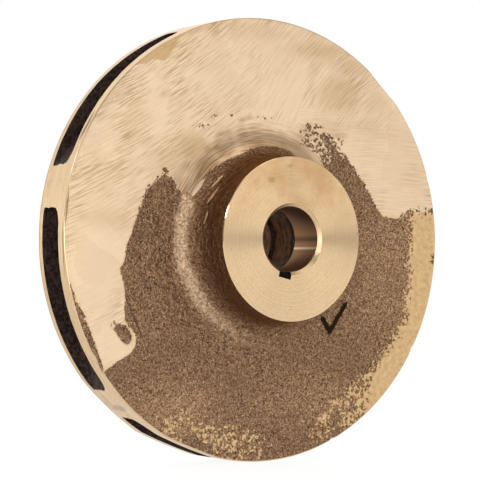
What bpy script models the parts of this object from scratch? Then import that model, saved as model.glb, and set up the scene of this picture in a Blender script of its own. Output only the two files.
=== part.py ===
# A closed centrifugal pump impeller: one bronze sand casting, standing upright on its rim.
# The shaft axis runs along Y, the hub faces -Y, the suction eye faces +Y, and Z is up.
# The origin lies under the middle of the casting, on the surface that the rim stands on.
# Sections are drawn round local Z with the hub face on top, and an empty turns them upright.
# Lengths are in metres; a depth is measured from the disc face towards the suction side.
import math

import bmesh
import bpy

# Rim and disc
RIM_RADIUS = 0.099
RIM_WIDTH = 0.0244
RIM_CHAMFER = 0.0005

# Hub on the driver's side
HUB_RADIUS = 0.036
HUB_HEIGHT = 0.0244
HUB_CHAMFER = 0.0008
HUB_FILLET = 0.014

# Bore, its cast relief and the keyway
BORE_RADIUS = 0.0142875
BORE_CHAMFER = 0.00145
BORE_LAND = 0.0189
RELIEF_RADIUS = 0.0156
RELIEF_LENGTH = 0.019
RELIEF_SLOPE = 0.001
KEY_WIDTH = 0.00635
KEY_FLOOR_RADIUS = 0.0176
KEY_ANGLE = math.radians(256.0)

# Suction side
EYE_RADIUS = 0.0485
EYE_CHAMFER = 0.0008
NECK_RADIUS = 0.0545
NECK_DEPTH = 0.042
NECK_FILLET = 0.003
NOSE_RADIUS = 0.0235
NOSE_DEPTH = 0.024
NOSE_CHAMFER = 0.001
NOSE_FOOT_RADIUS = 0.036

# Inside the eye, as radius and depth: the hub's curve from the nose, and the bell from the vanes to the eye
HUB_CURVE = ((0.0248, 0.0172), (0.0292, 0.0131))
BELL_CURVE = ((0.0515, 0.0311), (0.0496, 0.0345), (EYE_RADIUS, 0.0375))
VANE_FOOT_RADIUS = 0.039
VANE_MIDDLE = (0.0456, 0.0205)

# Radii at which the front shroud's dry side and the passages are drawn
SHROUD_RADII = (0.085, 0.074, 0.065)
PASSAGE_RADII = (0.0375, 0.042, 0.047, 0.053, 0.06, 0.069, 0.079, 0.089)

# Walls of the water passages
BACK_WALL = 0.0064
FRONT_WALL = 0.0035
BACK_RISE = 0.0046
FRONT_RISE = 0.0127

# Vanes, which sweep anticlockwise going outwards, as seen from the hub
VANE_COUNT = 6
VANE_PITCH = math.tau / VANE_COUNT
FIRST_VANE_ANGLE = math.radians(166.5)
TIP_ANGLE = math.radians(20.0)
EDGE_ANGLE = math.radians(24.0)
TIP_THICKNESS = 0.0065
EDGE_THICKNESS = 0.0032
EDGE_RADIUS = 0.041

# Corner radii of a passage, at the disc and at the front shroud
BACK_CORNER = 0.0048
FRONT_CORNER = 0.0012

# Facets round the axis and in the rounded corners
TURN_STEPS = 60
BORE_STEPS = 36
FILLET_STEPS = 4
CORNER_STEPS = 2
PASSAGE_DIVISIONS = 4

# How far a cutter runs past the face that it opens, and a passage's inner end stands off the hub's curve
CLEAR = 0.003
START_LIFT = 0.001


def collection(name):
    group = bpy.data.collections.new(name)
    bpy.context.scene.collection.children.link(group)
    return group


def bronze():
    material = bpy.data.materials.new("cast_bronze")
    material.use_nodes = True
    shader = material.node_tree.nodes["Principled BSDF"]
    shader.inputs["Base Color"].default_value = (0.62, 0.42, 0.22, 1.0)
    shader.inputs["Metallic"].default_value = 1.0
    shader.inputs["Roughness"].default_value = 0.42
    return material


def arc(centre, radius, start, end, steps):
    # Points (radius from the axis, height) along an arc, with its angles in degrees.
    points = []
    for step in range(steps + 1):
        angle = math.radians(start + (end - start) * step / steps)
        points.append((centre[0] + radius * math.cos(angle), centre[1] + radius * math.sin(angle)))
    return points


def place(obj, group, axis):
    group.objects.link(obj)
    obj.parent = axis


def turned(name, outline, steps, group, axis):
    # Spins an outline, drawn from the axis out and down, into a closed solid with a flat at its foot.
    profile = bpy.data.meshes.new(name + "_outline")
    edges = [(index, index + 1) for index in range(len(outline) - 1)]
    profile.from_pydata([(radius, 0.0, height) for radius, height in outline], edges, [])
    spun = bpy.data.objects.new(name + "_spun", profile)
    bpy.context.scene.collection.objects.link(spun)
    screw = spun.modifiers.new("turn", "SCREW")
    screw.steps = steps
    screw.render_steps = steps
    screw.use_merge_vertices = True
    screw.merge_threshold = 0.00001
    evaluated = spun.evaluated_get(bpy.context.evaluated_depsgraph_get())
    mesh = bpy.data.meshes.new_from_object(evaluated)
    mesh.name = name
    mesh.shade_smooth()
    mesh.set_sharp_from_angle(angle=math.radians(28.0))
    bpy.data.objects.remove(spun)
    obj = bpy.data.objects.new(name, mesh)
    obj.rotation_euler.z = math.pi / steps
    place(obj, group, axis)
    return obj


def as_cutter(obj):
    obj.hide_render = True
    obj.display_type = "WIRE"
    return obj


def back_wall_depth(radius):
    # The wet side of the disc: flat near the rim, rising towards the hub nose.
    share = (RIM_RADIUS - radius) / (RIM_RADIUS - NOSE_FOOT_RADIUS)
    return BACK_WALL + BACK_RISE * share ** 4


def front_wall_depth(radius):
    # The wet side of the front shroud, which turns into the eye.
    share = (RIM_RADIUS - radius) / (RIM_RADIUS - EYE_RADIUS)
    return RIM_WIDTH - FRONT_WALL + FRONT_RISE * share ** 2.6


def shroud_back_depth(radius):
    # The dry side of the front shroud, whose wall thickens a little inwards.
    return front_wall_depth(radius) + FRONT_WALL + 0.02 * (RIM_RADIUS - radius)


def blank_outline():
    fillet_centre = (HUB_RADIUS + HUB_FILLET, HUB_FILLET)
    points = [(0.0, HUB_HEIGHT), (HUB_RADIUS - HUB_CHAMFER, HUB_HEIGHT)]
    points.append((HUB_RADIUS, HUB_HEIGHT - HUB_CHAMFER))
    points += arc(fillet_centre, HUB_FILLET, 180.0, 270.0, FILLET_STEPS)
    points += [(RIM_RADIUS - RIM_CHAMFER, 0.0), (RIM_RADIUS, -RIM_CHAMFER)]
    points += [(RIM_RADIUS, RIM_CHAMFER - RIM_WIDTH), (RIM_RADIUS - RIM_CHAMFER, -RIM_WIDTH)]
    for radius in SHROUD_RADII:
        points.append((radius, -shroud_back_depth(radius)))
    neck_foot = shroud_back_depth(NECK_RADIUS + NECK_FILLET) + 0.5 * NECK_FILLET
    points.append((NECK_RADIUS + NECK_FILLET, -shroud_back_depth(NECK_RADIUS + NECK_FILLET)))
    points += [(NECK_RADIUS + 0.3 * NECK_FILLET, -neck_foot), (NECK_RADIUS, -neck_foot - NECK_FILLET)]
    points += [(NECK_RADIUS, EYE_CHAMFER - NECK_DEPTH), (NECK_RADIUS - EYE_CHAMFER, -NECK_DEPTH)]
    points.append((0.0, -NECK_DEPTH))
    return points


def eye_outline():
    # The open space inside the eye, down to the hub nose and out to the vanes' leading edges.
    points = [(0.0, -NOSE_DEPTH), (NOSE_RADIUS - NOSE_CHAMFER, -NOSE_DEPTH)]
    points.append((NOSE_RADIUS, NOSE_CHAMFER - NOSE_DEPTH))
    points += [(radius, -depth) for radius, depth in HUB_CURVE]
    for radius in (NOSE_FOOT_RADIUS, VANE_FOOT_RADIUS):
        points.append((radius, -back_wall_depth(radius)))
    points += [(radius, -depth) for radius, depth in (VANE_MIDDLE,) + BELL_CURVE]
    points.append((EYE_RADIUS, EYE_CHAMFER - NECK_DEPTH))
    points += [(EYE_RADIUS + EYE_CHAMFER + CLEAR, -NECK_DEPTH - CLEAR), (0.0, -NECK_DEPTH - CLEAR)]
    return points


def bore_outline():
    top = HUB_HEIGHT + CLEAR
    mouth = BORE_RADIUS + BORE_CHAMFER
    relief_top = HUB_HEIGHT - BORE_LAND
    relief_end = relief_top - RELIEF_LENGTH
    points = [(0.0, top), (mouth + CLEAR, top), (BORE_RADIUS, HUB_HEIGHT - BORE_CHAMFER)]
    points += [(BORE_RADIUS, relief_top), (RELIEF_RADIUS, relief_top - RELIEF_SLOPE)]
    points += [(RELIEF_RADIUS, relief_end + RELIEF_SLOPE), (BORE_RADIUS, relief_end)]
    points.append((BORE_RADIUS, NOSE_CHAMFER - NOSE_DEPTH))
    points.append((BORE_RADIUS + NOSE_CHAMFER + CLEAR, -NOSE_DEPTH - CLEAR))
    points.append((0.0, -NOSE_DEPTH - CLEAR))
    return points


def keyway(group, axis):
    length = HUB_HEIGHT + NOSE_DEPTH + 2.0 * CLEAR
    mesh = bpy.data.meshes.new("keyway")
    shape = bmesh.new()
    bmesh.ops.create_cube(shape, size=1.0)
    shape.to_mesh(mesh)
    shape.free()
    cutter = bpy.data.objects.new("keyway", mesh)
    cutter.scale = (KEY_FLOOR_RADIUS, KEY_WIDTH, length)
    reach = 0.5 * KEY_FLOOR_RADIUS
    height = 0.5 * (HUB_HEIGHT - NOSE_DEPTH)
    cutter.location = (reach * math.cos(KEY_ANGLE), reach * math.sin(KEY_ANGLE), height)
    cutter.rotation_euler.z = KEY_ANGLE
    place(cutter, group, axis)
    return as_cutter(cutter)


def vane_angle(radius):
    # The angle between the vane and the circle that it crosses.
    share = (RIM_RADIUS - radius) / (RIM_RADIUS - EDGE_RADIUS)
    return TIP_ANGLE + (EDGE_ANGLE - TIP_ANGLE) * share


def vane_sweep(radius):
    # How far the vane's middle line has turned between this radius and the rim.
    steps = 24
    width = (RIM_RADIUS - radius) / steps
    total = 0.0
    for step in range(steps):
        middle = radius + (step + 0.5) * width
        total += width / (middle * math.tan(vane_angle(middle)))
    return total


def vane_half_width(radius):
    # Half the angle that the vane's thickness covers on the circle of this radius.
    share = (RIM_RADIUS - radius) / (RIM_RADIUS - EDGE_RADIUS)
    thickness = TIP_THICKNESS + (EDGE_THICKNESS - TIP_THICKNESS) * share
    return 0.5 * thickness / (radius * math.sin(vane_angle(radius)))


def passage_row(start, end, radius, depth, corner, inward):
    # One long side of a passage section, as (angle, depth), with a rounded corner at each end.
    row = []
    turn = corner / radius
    for step in range(CORNER_STEPS + 1):
        angle = 0.5 * math.pi * step / CORNER_STEPS
        row.append((start + turn * (1.0 - math.sin(angle)), depth + inward * corner * (1.0 - math.cos(angle))))
    row.reverse()
    span = end - start - 2.0 * turn
    for division in range(1, PASSAGE_DIVISIONS):
        row.append((start + turn + span * division / PASSAGE_DIVISIONS, depth))
    for step in range(CORNER_STEPS + 1):
        angle = 0.5 * math.pi * step / CORNER_STEPS
        row.append((end - turn * (1.0 - math.sin(angle)), depth + inward * corner * (1.0 - math.cos(angle))))
    return row


def passage_section(index, radius, drawn_radius):
    # A slice of one passage on the circle of this radius, drawn on the circle of drawn_radius.
    middle = FIRST_VANE_ANGLE + index * VANE_PITCH - vane_sweep(radius)
    start = middle + vane_half_width(radius)
    end = middle + VANE_PITCH - vane_half_width(radius)
    back = passage_row(start, end, radius, back_wall_depth(radius), BACK_CORNER, 1.0)
    front_depth = front_wall_depth(max(radius, BELL_CURVE[0][0]))
    front = passage_row(start, end, radius, front_depth, FRONT_CORNER, -1.0)
    corners = []
    for angle, depth in back + front[::-1]:
        corners.append((drawn_radius * math.cos(angle), drawn_radius * math.sin(angle), -depth))
    return corners


def passage(index, group, axis):
    # A sand core's shape, lofted from inside the eye to outside the rim.
    sections = [passage_section(index, radius, radius) for radius in PASSAGE_RADII + (RIM_RADIUS,)]
    sections.append(passage_section(index, RIM_RADIUS, RIM_RADIUS + CLEAR))
    sections[0] = [(x, y, z - START_LIFT) for x, y, z in sections[0]]
    count = len(sections[0])
    faces = []
    for ring in range(len(sections) - 1):
        for corner in range(count):
            after = (corner + 1) % count
            near = ring * count
            far = near + count
            faces.append((near + corner, far + corner, far + after, near + after))
    for ring, flip in ((0, False), (len(sections) - 1, True)):
        for corner in range(count // 2 - 1):
            low = ring * count + corner
            high = ring * count + count - 1 - corner
            quad = (low, low + 1, high - 1, high)
            faces.append(quad[::-1] if flip else quad)
    points = [point for section in sections for point in section]
    mesh = bpy.data.meshes.new("passage_%d" % (index + 1))
    mesh.from_pydata(points, [], faces)
    core = bpy.data.objects.new(mesh.name, mesh)
    place(core, group, axis)
    return as_cutter(core)


def cut(body, cutter):
    boolean = body.modifiers.new(cutter.name, "BOOLEAN")
    boolean.operation = "DIFFERENCE"
    boolean.solver = "EXACT"
    boolean.object = cutter


def main():
    for obj in list(bpy.data.objects):
        bpy.data.objects.remove(obj)
    parts = collection("pump_impeller")
    cutters = collection("cutters")
    axis = bpy.data.objects.new("shaft_axis", None)
    axis.location.y = 0.5 * (HUB_HEIGHT - NECK_DEPTH)
    axis.location.z = RIM_RADIUS * math.cos(math.pi / TURN_STEPS)
    axis.rotation_euler.x = 0.5 * math.pi
    parts.objects.link(axis)

    casting = turned("impeller_casting", blank_outline(), TURN_STEPS, parts, axis)
    casting.data.materials.append(bronze())
    cut(casting, as_cutter(turned("eye_space", eye_outline(), TURN_STEPS, cutters, axis)))
    for index in range(VANE_COUNT):
        cut(casting, passage(index, cutters, axis))
    cut(casting, as_cutter(turned("bore", bore_outline(), BORE_STEPS, cutters, axis)))
    cut(casting, keyway(cutters, axis))


main()
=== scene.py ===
# Closed pump impeller in sand-cast tin bronze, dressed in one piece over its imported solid.
# The shaft lies along Y with the hub towards -Y, and the rim stands on the floor at Z = 0.
# Sizes in the dictionaries are millimetres and degrees; the mesh itself is in metres.
import math

import bpy
import numpy as np
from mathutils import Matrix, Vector, noise


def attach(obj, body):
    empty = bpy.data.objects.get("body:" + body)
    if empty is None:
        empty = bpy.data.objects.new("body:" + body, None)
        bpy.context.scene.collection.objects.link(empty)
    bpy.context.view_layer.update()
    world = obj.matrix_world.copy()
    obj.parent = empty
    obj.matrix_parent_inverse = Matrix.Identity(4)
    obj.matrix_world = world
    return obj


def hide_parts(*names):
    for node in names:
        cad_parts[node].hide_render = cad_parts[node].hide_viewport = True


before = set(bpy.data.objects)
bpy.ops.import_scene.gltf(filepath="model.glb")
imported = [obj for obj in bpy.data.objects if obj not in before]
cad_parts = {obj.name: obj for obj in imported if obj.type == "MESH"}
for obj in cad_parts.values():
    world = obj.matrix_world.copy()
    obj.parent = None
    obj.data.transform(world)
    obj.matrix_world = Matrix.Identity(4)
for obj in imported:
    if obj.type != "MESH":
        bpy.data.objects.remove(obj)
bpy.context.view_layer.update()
print("frame loaded:", sorted(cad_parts))

mm = 0.001
scene = bpy.context.scene
noise.seed_set(7)  # the sand-rough walls come out the same each run

# Where the casting stands: the disc's face plane and the height of the shaft axis
seat = {
    "faceY": -8.8,
    "axisZ": 98.864,
}

# Camera at the photograph's place, in the photo's own terms
camera = {
    "lens": 149.0,
    "sensor": 36.0,
    "azimuth": -33.1,
    "elevation": -0.7,
    "distance": 886.0,
    "aside": -9.61,
    "lower": -0.19,
}


def placeCamera():
    azimuth = math.radians(camera["azimuth"])
    elevation = math.radians(camera["elevation"])
    back = Vector((
        math.sin(azimuth) * math.cos(elevation),
        -math.cos(azimuth) * math.cos(elevation),
        math.sin(elevation),
    ))
    right = Vector((math.cos(azimuth), math.sin(azimuth), 0.0))
    up = back.cross(right)
    spot = Vector((0.0, seat["faceY"], seat["axisZ"]))
    spot += back * camera["distance"] + right * camera["aside"] + up * camera["lower"]
    turn = (0.5 * math.pi - elevation, 0.0, azimuth)
    bpy.ops.object.camera_add(location=spot * mm, rotation=turn)
    eye = bpy.context.object
    eye.name = "photoCamera"
    eye.data.lens = camera["lens"]
    eye.data.sensor_width = camera["sensor"]
    scene.camera = eye
    return spot


photoSpot = placeCamera()
print("camera placed")


def deselectAll():
    if bpy.context.mode != "OBJECT":
        bpy.ops.object.mode_set(mode="OBJECT")
    bpy.ops.object.select_all(action="DESELECT")


def editAll(thing):
    # Opens a mesh for editing with all of it selected.
    pickOnly([thing])
    bpy.ops.object.mode_set(mode="EDIT")
    bpy.ops.mesh.select_all(action="SELECT")


def pickOnly(things):
    deselectAll()
    for thing in things:
        thing.select_set(True)
    bpy.context.view_layer.objects.active = things[0]


def smoothStep(value, low, high):
    share = np.clip((value - low) / (high - low), 0.0, 1.0)
    return share * share * (3.0 - 2.0 * share)


# The casting's section, as radius from the shaft and depth behind the disc face
casting = {
    "rimRadius": 98.86,
    "rimWidth": 24.4,
    "rimChamfer": 0.45,
    "hubRadius": 36.0,
    "hubHeight": 24.4,
    "hubChamfer": 0.3,
    "hubFillet": 14.0,
    "filletSteps": 18,
    "boreRadius": 14.29,
    "boreChamfer": 1.45,
    "boreLand": 18.9,
    "reliefRadius": 15.6,
    "reliefLength": 19.0,
    "eyeRadius": 48.5,
    "neckRadius": 54.5,
    "neckDepth": 42.0,
    "neckChamfer": 0.8,
    "neckFoot": 57.5,
    "noseRadius": 23.5,
    "noseDepth": 24.0,
    "wallStart": 99.0,      # radius that the passages' two walls curve away from
    "backWall": 6.4,
    "backRise": 4.6,
    "backCurve": 4,
    "frontWall": 3.5,
    "frontRise": 12.7,
    "frontCurve": 2.6,
    "shroudSlope": 0.02,
    "turnSteps": 360,
}


def backWallDepth(radius):
    share = (casting["wallStart"] - radius) / (casting["wallStart"] - casting["hubRadius"])
    return casting["backWall"] + casting["backRise"] * share ** casting["backCurve"]


def frontWallDepth(radius):
    share = (casting["wallStart"] - radius) / (casting["wallStart"] - casting["eyeRadius"])
    rise = casting["frontRise"] * share ** casting["frontCurve"]
    return casting["rimWidth"] - casting["frontWall"] + rise


def shroudDepth(radius):
    slope = casting["shroudSlope"] * (casting["wallStart"] - radius)
    return frontWallDepth(radius) + casting["frontWall"] + slope


def sectionOutline():
    # A closed run of points, each with the name of the surface that starts there.
    c = casting
    rim = c["rimRadius"]
    cut = c["rimChamfer"]
    mouth = c["boreRadius"] + c["boreChamfer"]
    foot = shroudDepth(c["neckFoot"])
    neckEdge = c["neckDepth"] - c["neckChamfer"]
    reliefStart = c["boreLand"] - c["hubHeight"]
    reliefEnd = reliefStart + c["reliefLength"]
    whole = math.inf
    fillet = []
    for step in range(c["filletSteps"]):
        angle = math.radians(180.0 + 90.0 * step / c["filletSteps"])
        radius = c["hubRadius"] + c["hubFillet"] * (1.0 + math.cos(angle))
        fillet.append(("discSide", radius, -c["hubFillet"] * (1.0 + math.sin(angle)), whole))
    rimEdge = []
    for angle in (0.0, 30.0, 60.0, 90.0):
        turn = math.radians(angle)
        rimEdge.append(("rim", rim - cut + cut * math.sin(turn), cut - cut * math.cos(turn), whole))
    shroud = [rim - cut - 2.4 * step for step in range(17)]
    # surface, radius, depth, and the pitch that cuts the stretch up to the next row
    rows = [
        ("hubFace", mouth, -c["hubHeight"], 1.6),
        ("hubEdge", c["hubRadius"] - c["hubChamfer"], -c["hubHeight"], 0.6),
        ("discSide", c["hubRadius"], c["hubChamfer"] - c["hubHeight"], 1.2),
        *fillet,
        ("discSide", c["hubRadius"] + c["hubFillet"], 0.0, 0.95),
        ("discSide", rim - cut - 0.25, 0.0, whole),
        *rimEdge,
        ("rim", rim, 2.0 * cut, 1.6),
        ("rim", rim, c["rimWidth"] - cut, 0.8),
        *[("shroudSide", radius, shroudDepth(radius), whole) for radius in shroud],
        ("shroudSide", c["neckFoot"], foot, whole),
        ("shroudSide", 56.6, foot + 0.4, whole),
        ("shroudSide", 55.7, foot + 1.1, whole),
        ("shroudSide", 54.9, foot + 2.4, whole),
        ("neckSide", c["neckRadius"], foot + 4.0, 1.5),
        ("neckFace", c["neckRadius"], neckEdge, 0.8),
        ("neckFace", c["neckRadius"] - c["neckChamfer"], c["neckDepth"], 1.5),
        ("neckFace", c["eyeRadius"] + c["neckChamfer"], c["neckDepth"], 0.8),
        ("eyeSide", c["eyeRadius"], neckEdge, 1.5),
        *[("bell", *point, whole) for point in ((48.5, 38.0), (48.8, 36.4), (49.4, 34.8), (50.3, 33.1))],
        ("vaneEdge", 51.5, 31.1, 1.2),
        ("vaneEdge", 45.6, 20.5, 1.2),
        *[("hubCurve", radius, backWallDepth(radius), whole) for radius in (39.0, 37.5, 36.0)],
        *[("hubCurve", *point, whole) for point in ((34.0, 11.55), (31.5, 12.4), (29.2, 13.5))],
        *[("hubCurve", *point, whole) for point in ((27.2, 15.0), (25.6, 16.8), (24.4, 18.8), (23.8, 20.8))],
        ("noseFace", c["noseRadius"], c["noseDepth"] - 1.0, 0.8),
        ("noseFace", c["noseRadius"] - 1.0, c["noseDepth"], 1.6),
        ("bore", c["boreRadius"] + 1.0, c["noseDepth"], 0.8),
        ("rearLand", c["boreRadius"], c["noseDepth"] - 1.0, 2.0),
        ("rearStep", c["boreRadius"], reliefEnd, 1.0),
        ("relief", c["reliefRadius"], reliefEnd - 1.0, 1.2),
        ("relief", c["reliefRadius"], reliefStart + 1.0, 1.0),
        ("bore", c["boreRadius"], reliefStart, 2.0),
        ("boreMouth", c["boreRadius"], c["boreChamfer"] - c["hubHeight"], 0.9),
    ]
    outline = []
    for (surface, radius, depth, pitch), (_, nextRadius, nextDepth, _) in zip(rows, rows[1:] + rows[:1]):
        count = max(1, round(math.dist((radius, depth), (nextRadius, nextDepth)) / pitch))
        for step in range(count):
            share = step / count
            point = (radius + (nextRadius - radius) * share, depth + (nextDepth - depth) * share)
            outline.append((surface, point))
    return outline


section = sectionOutline()


def spinCasting():
    # The section is drawn point by point from one vertex, then spun about the shaft axis.
    points = [Vector((radius, seat["faceY"] + depth, seat["axisZ"])) * mm for _, (radius, depth) in section]
    deselectAll()
    bpy.ops.mesh.primitive_plane_add(size=0.002, location=points[0])
    body = bpy.context.object
    body.name = "impellerCasting"
    bpy.ops.object.transform_apply(location=True, rotation=True, scale=True)
    editAll(body)
    bpy.ops.mesh.merge(type="CENTER")
    for here, there in zip(points, points[1:] + points[:1]):
        bpy.ops.mesh.extrude_region_move(TRANSFORM_OT_translate={"value": there - here})
    bpy.ops.mesh.select_all(action="SELECT")
    bpy.ops.mesh.remove_doubles(threshold=0.00001)
    bpy.ops.mesh.select_all(action="SELECT")
    centre = (0.0, 0.0, seat["axisZ"] * mm)
    bpy.ops.mesh.spin(steps=casting["turnSteps"], angle=math.tau, center=centre, axis=(0.0, 1.0, 0.0))
    bpy.ops.mesh.select_all(action="SELECT")
    bpy.ops.mesh.remove_doubles(threshold=0.00001)
    bpy.ops.mesh.normals_make_consistent(inside=False)
    bpy.ops.object.mode_set(mode="OBJECT")
    return body


body = spinCasting()
print("casting spun:", len(body.data.vertices), "points")

# Water passages between the six swept vanes, as the sand cores that leave them
passages = {
    "count": 6,
    "firstVane": 167.1,
    "tipAngle": 20.0,
    "edgeAngle": 24.0,
    "tipThickness": 6.5,
    "edgeThickness": 3.2,
    "edgeRadius": 41.0,
    "edgeRounding": 5.0,
    "backCorner": 5.2,
    "frontCorner": 0.9,
    "cornerStretch": 1.6,
    "sides": 128,
    "past": 116.0,          # far enough out for a core's flat end to clear the rim
    "innerLift": 3.0,       # a core's first ring is raised over the hub curve
    "liftFrom": 39.5,
    "liftReach": 2.0,
    "roughness": 0.28,
    "roughScale": 3.4,
    "fineShare": 0.6,
    "fineScale": 2.3,
    "thickShroud": 2.2,     # near two slot ends that the photo shows, the front shroud's lip is thicker
    "lipSide": (100.0, 285.0),
    "lipTo": (114.0, 138.0),
    "lipFrom": (228.0, 242.0),
    "lipDepth": (12.0, 19.0),
    "lipRadius": (84.0, 94.0),
}


def inwardShare(radius):
    return (casting["wallStart"] - radius) / (casting["wallStart"] - passages["edgeRadius"])


def vaneAngle(radius):
    p = passages
    return math.radians(p["tipAngle"] + (p["edgeAngle"] - p["tipAngle"]) * inwardShare(radius))


def vaneSweep(radius):
    steps = 24
    width = (casting["wallStart"] - radius) / steps
    middles = [radius + (step + 0.5) * width for step in range(steps)]
    return sum(width / (middle * math.tan(vaneAngle(middle))) for middle in middles)


def leadingRadius(depth):
    # Where the vanes' inner edges stand, from the hub curve out to the bell.
    return float(np.interp(depth, (10.9, 20.5, 31.1), (39.0, 45.6, 51.5)))


def vaneHalfWidth(radius, depth):
    p = passages
    thickness = p["tipThickness"] + (p["edgeThickness"] - p["tipThickness"]) * inwardShare(radius)
    inside = min(1.0, max(0.0, (radius - leadingRadius(depth)) / p["edgeRounding"]))
    nose = max(0.03, math.sqrt(1.0 - (1.0 - inside) ** 2))
    return 0.5 * thickness * nose / (radius * math.sin(vaneAngle(radius)))


def coreRings():
    near = [37.5 + 1.0 * step for step in range(20)]
    far = np.linspace(58.0, casting["wallStart"], 17)
    return near + [float(radius) for radius in far] + [passages["past"]]


def shapeCore(core):
    # Each ring of the long cylinder becomes a rounded slot on the circle of its radius.
    p = passages
    rings = coreRings()
    top = max(vertex.co.z for vertex in core.data.vertices)
    bottom = min(vertex.co.z for vertex in core.data.vertices)
    for vertex in core.data.vertices:
        ring = round((vertex.co.z - bottom) / (top - bottom) * (len(rings) - 1))
        drawn = rings[ring]
        radius = min(drawn, casting["wallStart"])
        angle = math.atan2(vertex.co.y, vertex.co.x)
        side, height = math.cos(angle), math.sin(angle)
        if abs(height) > abs(side):
            # the long walls' points stand closer together towards the corners
            share = math.asin(max(-1.0, min(1.0, math.sqrt(2.0) * side))) / (0.5 * math.pi)
            side, height = math.sin(0.5 * math.pi * share), math.copysign(1.0, height)
        else:
            side, height = math.copysign(1.0, side), height / abs(side)
        lift = p["innerLift"] * max(0.0, (p["liftFrom"] - drawn) / p["liftReach"]) ** 2
        back = backWallDepth(radius) + lift
        front = frontWallDepth(max(radius, casting["eyeRadius"] + 2.5))
        corner = p["backCorner"] if height < 0.0 else p["frontCorner"]
        middle = 0.5 * (back + front)
        halfDepth = 0.5 * (front - back)
        depth = middle + height * halfDepth
        pitch = math.tau / p["count"]
        halfSpan = (0.5 * pitch - vaneHalfWidth(radius, depth)) * radius
        across, down = side * halfSpan, height * halfDepth
        wide = corner * p["cornerStretch"]
        overAcross = (abs(across) - (halfSpan - wide)) / wide
        overDown = (abs(down) - (halfDepth - corner)) / corner
        if overAcross > 0.0 and overDown > 0.0:
            pull = 1.0 / math.hypot(overAcross, overDown)
            across = math.copysign(halfSpan - wide + wide * overAcross * pull, across)
            down = math.copysign(halfDepth - corner + corner * overDown * pull, down)
        turn = math.radians(p["firstVane"]) - vaneSweep(radius) + 0.5 * pitch + across / radius
        vertex.co = Vector((
            drawn * math.cos(turn),
            seat["faceY"] + middle + down,
            seat["axisZ"] + drawn * math.sin(turn),
        )) * mm


def roughenCore(core):
    # Sand-rough walls, and a thicker lip of the front shroud near two slot ends.
    p = passages
    for vertex in core.data.vertices:
        place = vertex.co / (p["roughScale"] * mm)
        shift = noise.noise_vector(place) + p["fineShare"] * noise.noise_vector(place * p["fineScale"])
        vertex.co += shift * p["roughness"] * mm
        across = vertex.co.x / mm
        upwards = vertex.co.z / mm - seat["axisZ"]
        angle = math.degrees(math.atan2(upwards, across)) % 360.0
        low, high = p["lipTo"]
        near = max(smoothStep(-angle, -high, -low), smoothStep(angle, *p["lipFrom"]))
        first, last = p["lipSide"]
        lip = near * (first < angle < last)
        lip *= smoothStep(vertex.co.y / mm - seat["faceY"], *p["lipDepth"])
        outer = smoothStep(math.hypot(across, upwards), *p["lipRadius"])
        vertex.co.y -= p["thickShroud"] * lip * outer * mm


def makeCores():
    deselectAll()
    bpy.ops.mesh.primitive_cylinder_add(vertices=passages["sides"], radius=0.01, depth=0.08)
    core = bpy.context.object
    core.name = "sandCore"
    for face in core.data.polygons:
        face.select = False
    for vertex in core.data.vertices:
        vertex.select = False
    for edge in core.data.edges:
        ends = [core.data.vertices[index].co.z for index in edge.vertices]
        edge.select = ends[0] * ends[1] < 0.0
    scene.tool_settings.mesh_select_mode = (False, True, False)
    bpy.ops.object.mode_set(mode="EDIT")
    bpy.ops.mesh.subdivide(number_cuts=len(coreRings()) - 2)
    bpy.ops.object.mode_set(mode="OBJECT")
    shapeCore(core)
    editAll(core)
    bpy.ops.mesh.normals_make_consistent(inside=False)
    bpy.ops.object.mode_set(mode="OBJECT")
    cores = [core]
    pivot = (0.0, 0.0, seat["axisZ"] * mm)
    for index in range(1, passages["count"]):
        pickOnly([core])
        bpy.ops.object.duplicate()
        copy = bpy.context.object
        editAll(copy)
        turn = index * math.tau / passages["count"]
        bpy.ops.transform.rotate(value=turn, orient_axis="Y", center_override=pivot)
        bpy.ops.object.mode_set(mode="OBJECT")
        cores.append(copy)
    for core in cores:
        roughenCore(core)
    return cores


# Keyway, broached straight through both lands
keyway = {
    "width": 6.35,
    "length": 54.5,
    "middleDepth": -0.2,
    "floorRadius": 17.6,
    "angle": 256.0,
}


def makeKeyway():
    angle = math.radians(keyway["angle"])
    reach = 0.5 * keyway["floorRadius"]
    middle = (
        reach * math.cos(angle) * mm,
        (seat["faceY"] + keyway["middleDepth"]) * mm,
        (seat["axisZ"] + reach * math.sin(angle)) * mm,
    )
    deselectAll()
    bpy.ops.mesh.primitive_cube_add(size=1.0, location=middle)
    cutter = bpy.context.object
    cutter.scale = (keyway["floorRadius"] * mm, keyway["length"] * mm, keyway["width"] * mm)
    cutter.rotation_euler.y = -angle
    bpy.ops.object.transform_apply(location=True, rotation=True, scale=True)
    return cutter


def cutCasting(cutters):
    pickOnly(cutters)
    bpy.ops.object.join()
    joined = bpy.context.object
    pickOnly([body])
    cut = body.modifiers.new("waterPassages", "BOOLEAN")
    cut.operation = "DIFFERENCE"
    cut.solver = "MANIFOLD"
    cut.object = joined
    bpy.ops.object.modifier_apply(modifier=cut.name)
    bpy.data.objects.remove(joined)


cutCasting(makeCores() + [makeKeyway()])
body.data.calc_loop_triangles()
print("passages and keyway cut:", len(body.data.loop_triangles), "triangles")

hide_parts("impeller_casting")
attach(body, "root")


def seen(vertices):
    # Where the line of sight from the photo's camera through each point meets the disc's plane.
    spot = np.array(photoSpot)
    reach = (seat["faceY"] - spot[1]) / (vertices[:, 1] - spot[1])
    return np.stack([
        spot[0] + (vertices[:, 0] - spot[0]) * reach,
        spot[2] + (vertices[:, 2] - spot[2]) * reach - seat["axisZ"],
    ], axis=1)


def gapTo(points, start, end):
    # Distance from each point to a straight stretch.
    run = end - start
    away = points - start
    share = np.clip((away @ run) / (run @ run), 0.0, 1.0)
    return np.hypot(*(away - share[:, None] * run).T)


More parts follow.
